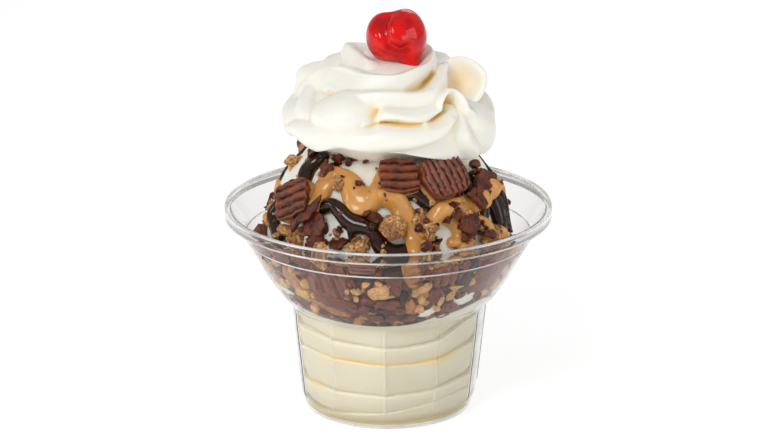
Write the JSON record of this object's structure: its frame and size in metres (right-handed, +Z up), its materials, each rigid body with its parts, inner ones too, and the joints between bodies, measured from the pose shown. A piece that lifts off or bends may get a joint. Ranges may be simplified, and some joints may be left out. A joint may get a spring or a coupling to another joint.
{
  "type": "ice cream sundae",
  "caption": "Soft-serve sundae in a clear fluted dish, layered and topped with chopped peanut butter candy, fudge and peanut butter sauce, whipped cream and a cherry.",
  "frame": {"origin": "middle of the dish's standing ring, on the surface that it rests on", "axes": "+Z up along the dish's axis, -Y towards the front shown in the picture, +X to the right seen from the front"},
  "size_m": [0.1118, 0.1118, 0.1409],
  "materials": {
    "clear_plastic": "clear thin thermoformed plastic, glossy",
    "vanilla_ice_cream": "smooth soft-serve ice cream, slightly moist",
    "chopped_pieces": "packed chocolate and peanut butter pieces with sauce",
    "fudge_sauce": "very dark glossy fudge sauce",
    "peanut_butter_sauce": "golden tan glossy sauce",
    "milk_chocolate": "milk chocolate with a soft sheen",
    "peanut_butter": "dry crumbly peanut butter filling",
    "whipped_cream": "soft whipped cream",
    "cherry_skin": "wet bright red preserved cherry"
  },
  "bodies": {
    "root": {"cup": "clear_plastic", "ice_cream_base": "vanilla_ice_cream", "chopped_layer": "chopped_pieces", "ice_cream_top": "vanilla_ice_cream", "fudge_front": "fudge_sauce", "fudge_left": "fudge_sauce", "fudge_upper": "fudge_sauce", "fudge_right": "fudge_sauce", "fudge_back": "fudge_sauce", "peanut_sauce_left": "peanut_butter_sauce", "peanut_sauce_middle": "peanut_butter_sauce", "peanut_sauce_right": "peanut_butter_sauce", "peanut_sauce_low": "peanut_butter_sauce", "peanut_sauce_back": "peanut_butter_sauce", "candy_front": "milk_chocolate", "candy_right": "milk_chocolate", "candy_left": "milk_chocolate", "candy_far_right": "milk_chocolate", "candy_back_right": "milk_chocolate", "candy_back_left": "milk_chocolate", "chip_left": "milk_chocolate", "chip_back": "milk_chocolate", "peanut_lump_front": "peanut_butter", "peanut_lump_back": "peanut_butter", "crumble_right": "milk_chocolate", "crumble_left": "peanut_butter", "cherry": "cherry_skin", "whipped_cream": "whipped_cream"}
  },
  "joints": []
}
